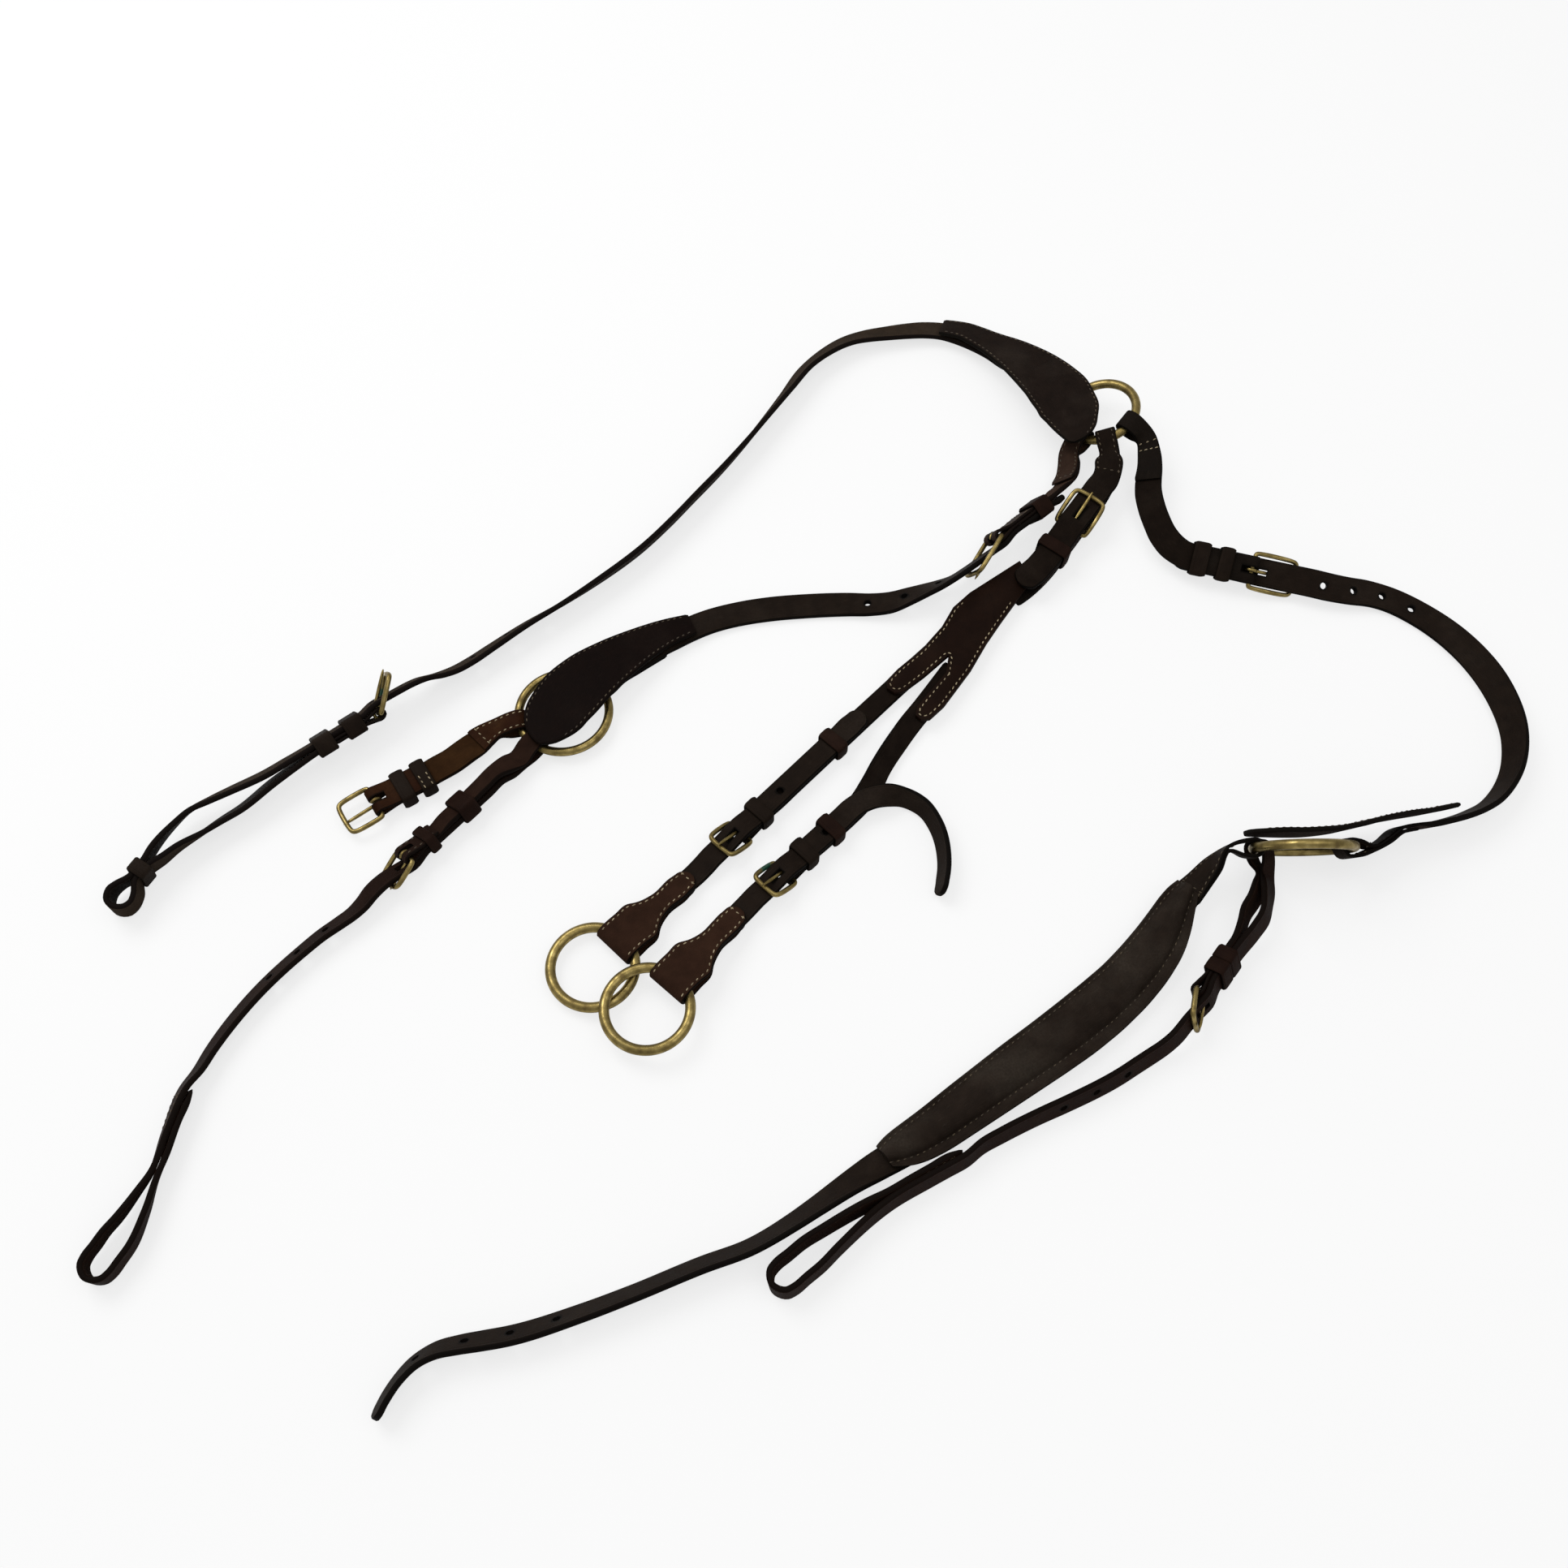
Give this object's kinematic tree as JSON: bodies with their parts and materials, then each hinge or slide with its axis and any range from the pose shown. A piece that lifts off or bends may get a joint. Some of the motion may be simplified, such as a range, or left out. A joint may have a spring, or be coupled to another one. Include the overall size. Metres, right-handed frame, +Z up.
{
  "type": "martingale breastplate",
  "caption": "Leather hunting breastplate with a forked running martingale: chest ring, two buckled neck straps, girth strap, saddle straps and wither pad, laid out flat.",
  "frame": {"origin": "Middle of the bounding box in plan, at the floor the object lies on.", "axes": "+Z is up from the floor. +X is to the right in the picture and +Y is away from the viewer."},
  "size_m": [0.754, 0.6494, 0.0522],
  "materials": {
    "dark_leather": "aged bridle leather, near-black brown",
    "red_leather": "reddish-brown bridle leather",
    "tan_leather": "tan flesh side of bridle leather",
    "brass": "aged brass"
  },
  "bodies": {
    "chest": {"chest_ring": "brass"},
    "girth": {"girth_strap": "dark_leather", "girth_safe": "dark_leather", "girth_buckle": "brass", "girth_fixed_keeper": "dark_leather", "girth_loop_keeper": "dark_leather"},
    "left_neck": {"left_neck_chape": "tan_leather", "left_neck_strap": "dark_leather", "left_neck_buckle": "brass", "left_safe": "dark_leather"},
    "left_ring": {"left_wither_ring": "brass"},
    "wither_end": {"wither_buckle_strap": "tan_leather", "wither_fixed_keeper": "dark_leather"},
    "wither_buckle": {"wither_buckle": "brass"},
    "left_saddle": {"left_saddle_strap": "red_leather", "left_saddle_buckle": "brass", "left_saddle_small_keeper": "red_leather"},
    "martingale": {"martingale_strap": "dark_leather", "fork_piece": "red_leather", "martingale_buckle": "brass", "left_branch_strap": "dark_leather", "right_branch_strap": "dark_leather", "left_billet": "dark_leather", "right_billet": "dark_leather", "left_ring_tab": "red_leather", "right_ring_tab": "red_leather", "left_branch_buckle": "brass", "right_branch_buckle": "brass", "left_branch_fixed_keeper": "dark_leather", "right_branch_fixed_keeper": "dark_leather"},
    "left_rein_ring": {"left_martingale_ring": "brass"},
    "right_rein_ring": {"right_martingale_ring": "brass"},
    "right_neck": {"right_neck_chape": "dark_leather", "right_neck_strap": "dark_leather", "right_neck_buckle": "brass", "right_safe": "dark_leather", "right_neck_fixed_keeper": "dark_leather"},
    "right_ring": {"right_wither_ring": "brass"},
    "wither": {"wither_billet_strap": "dark_leather", "wither_pad": "dark_leather"},
    "right_saddle": {"right_saddle_strap": "red_leather", "right_saddle_buckle": "brass", "right_saddle_keeper": "red_leather"},
    "girth_tongue": {"girth_tongue": "brass"},
    "left_neck_tongue": {"left_neck_tongue": "brass"},
    "left_saddle_tongue": {"left_saddle_tongue": "brass"},
    "right_neck_tongue": {"right_neck_tongue": "brass"},
    "right_saddle_tongue": {"right_saddle_tongue": "brass"},
    "martingale_tongue": {"martingale_tongue": "brass"},
    "left_branch_tongue": {"left_branch_tongue": "brass"},
    "right_branch_tongue": {"right_branch_tongue": "brass"},
    "wither_tongue": {"wither_tongue": "brass"},
    "girth_running_keeper": {"girth_running_keeper": "dark_leather"},
    "left_neck_keeper": {"left_neck_keeper": "red_leather"},
    "wither_running_keeper": {"wither_running_keeper": "dark_leather"},
    "left_saddle_big_keeper": {"left_saddle_big_keeper": "red_leather"},
    "right_neck_running_keeper": {"right_neck_running_keeper": "dark_leather"},
    "martingale_keeper": {"martingale_keeper": "red_leather"},
    "left_branch_running_keeper": {"left_branch_running_keeper": "red_leather"},
    "right_branch_running_keeper": {"right_branch_running_keeper": "red_leather"}
  },
  "joints": [
    {"name": "girth_strap_lift", "type": "hinge", "parent": "chest", "child": "girth", "pos_m": [0.14891, 0.25431, 0.01166], "axis": [0.6288, 0.7431, 0.2288], "range_deg": [0, 3.5]},
    {"name": "left_neck_lift", "type": "hinge", "parent": "chest", "child": "left_neck", "pos_m": [0.15063, 0.22441, 0.01229], "axis": [-0.7092, 0.6561, -0.258], "range_deg": [0, 20]},
    {"name": "left_ring_swing", "type": "hinge", "parent": "left_neck", "child": "left_ring", "pos_m": [-0.12928, 0.05433, 0.0065], "axis": [0.6428, -0.766, 0], "range_deg": [0, 10]},
    {"name": "wither_buckle_strap_lift", "type": "hinge", "parent": "left_ring", "child": "wither_end", "pos_m": [-0.17246, 0.03137, 0.0065], "axis": [-0.2756, 0.9613, 0], "range_deg": [0, 42]},
    {"name": "left_saddle_strap_lift", "type": "hinge", "parent": "left_ring", "child": "left_saddle", "pos_m": [-0.16347, 0.01829, 0.0065], "axis": [-0.7986, 0.6018, 0], "range_deg": [0, 24]},
    {"name": "martingale_lift", "type": "hinge", "parent": "chest", "child": "martingale", "pos_m": [0.16478, 0.2193, 0.01744], "axis": [-0.938, -0.061, -0.3413], "range_deg": [-1, 1]},
    {"name": "right_neck_lift", "type": "hinge", "parent": "chest", "child": "right_neck", "pos_m": [0.17824, 0.2262, 0.02234], "axis": [-0.6288, -0.7431, -0.2288], "range_deg": [0, 30]},
    {"name": "right_ring_swing", "type": "hinge", "parent": "right_neck", "child": "right_ring", "pos_m": [0.26303, -0.05097, 0.02161], "axis": [0.2079, -0.3344, 0.9192], "range_deg": [0, 10]},
    {"name": "wither_strap_swing", "type": "hinge", "parent": "right_ring", "child": "wither", "pos_m": [0.21382, -0.05155, 0.02323], "axis": [0.1392, 0.3386, -0.9306], "range_deg": [0, 12]},
    {"name": "right_saddle_strap_swing", "type": "hinge", "parent": "right_ring", "child": "right_saddle", "pos_m": [0.22089, -0.0467, 0.00989], "axis": [-0.7071, -0.2418, 0.6645], "range_deg": [0, 60]},
    {"name": "left_rein_ring_swing", "type": "hinge", "parent": "martingale", "child": "left_rein_ring", "pos_m": [-0.10932, -0.0941, 0.0056], "axis": [0.7193, -0.6947, 0], "range_deg": [0, 6]},
    {"name": "right_rein_ring_swing", "type": "hinge", "parent": "martingale", "child": "right_rein_ring", "pos_m": [-0.08104, -0.11743, 0.0114], "axis": [-0.7501, 0.6613, 0], "range_deg": [0, 6]},
    {"name": "girth_tongue_turn", "type": "hinge", "parent": "girth", "child": "girth_tongue", "pos_m": [-0.24851, 0.03437, 0.01215], "axis": [0.3576, -0.5014, 0.7878], "range_deg": [0, 5]},
    {"name": "left_neck_tongue_turn", "type": "hinge", "parent": "left_neck", "child": "left_neck_tongue", "pos_m": [0.09409, 0.14884, 0.01517], "axis": [0.3257, -0.3794, 0.866], "range_deg": [0, 5]},
    {"name": "left_saddle_tongue_turn", "type": "hinge", "parent": "left_saddle", "child": "left_saddle_tongue", "pos_m": [-0.22481, -0.0501, 0.01069], "axis": [0.65, -0.5722, 0.5], "range_deg": [0, 5]},
    {"name": "right_neck_tongue_turn", "type": "hinge", "parent": "right_neck", "child": "right_neck_tongue", "pos_m": [0.23957, 0.12751, 0.0138], "axis": [0.2141, 0.7907, 0.5736], "range_deg": [0, 5]},
    {"name": "right_saddle_tongue_turn", "type": "hinge", "parent": "right_saddle", "child": "right_saddle_tongue", "pos_m": [0.17982, -0.12667, 0.0109], "axis": [-0.3197, 0.2514, 0.9135], "range_deg": [0, 5]},
    {"name": "martingale_tongue_turn", "type": "hinge", "parent": "martingale", "child": "martingale_tongue", "pos_m": [0.13883, 0.15828, 0.01141], "axis": [0.813, -0.5781, -0.0696], "range_deg": [0, 5]},
    {"name": "left_branch_tongue_turn", "type": "hinge", "parent": "martingale", "child": "left_branch_tongue", "pos_m": [-0.05036, -0.03329, 0.00408], "axis": [-0.7247, 0.6891, 0], "range_deg": [0, 5]},
    {"name": "right_branch_tongue_turn", "type": "hinge", "parent": "martingale", "child": "right_branch_tongue", "pos_m": [-0.02673, -0.05736, 0.00565], "axis": [-0.71, 0.7042, 0], "range_deg": [0, 5]},
    {"name": "wither_buckle_turn", "type": "hinge", "parent": "wither_end", "child": "wither_buckle", "pos_m": [-0.24497, -0.01708, 0.0075], "axis": [-0.5396, 0.8419, 0], "range_deg": [0, 120]},
    {"name": "wither_tongue_turn", "type": "hinge", "parent": "wither_buckle", "child": "wither_tongue", "pos_m": [-0.24497, -0.01708, 0.0075], "axis": [0.5396, -0.8419, 0], "range_deg": [0, 35]},
    {"name": "girth_running_keeper_slide", "type": "slide", "parent": "girth", "child": "girth_running_keeper", "axis": [-0.798, -0.6023, -0.0211], "range_m": [-0.002, 0.003]},
    {"name": "left_neck_keeper_slide", "type": "slide", "parent": "left_neck", "child": "left_neck_keeper", "axis": [-0.7529, -0.6581, -0.0057], "range_m": [-0.003, 0.003]},
    {"name": "wither_running_keeper_slide", "type": "slide", "parent": "wither_end", "child": "wither_running_keeper", "axis": [-0.8421, -0.5393, -0.0002], "range_m": [-0.001, 0.001]},
    {"name": "left_saddle_big_keeper_slide", "type": "slide", "parent": "left_saddle", "child": "left_saddle_big_keeper", "axis": [-0.6628, -0.7488, 0.0047], "range_m": [-0.003, 0.003]},
    {"name": "right_neck_running_keeper_slide", "type": "slide", "parent": "right_neck", "child": "right_neck_running_keeper", "axis": [0.9696, -0.2448, -0.0019], "range_m": [-0.0005, 0.003]},
    {"name": "martingale_keeper_slide", "type": "slide", "parent": "martingale", "child": "martingale_keeper", "axis": [-0.582, -0.8104, -0.0678], "range_m": [-0.002, 0]},
    {"name": "left_branch_running_keeper_slide", "type": "slide", "parent": "martingale", "child": "left_branch_running_keeper", "axis": [-0.6891, -0.7247, 0.0008], "range_m": [-0.004, 0.004]},
    {"name": "right_branch_running_keeper_slide", "type": "slide", "parent": "martingale", "child": "right_branch_running_keeper", "axis": [-0.7039, -0.7097, 0.0293], "range_m": [-0.002, 0.004]}
  ]
}
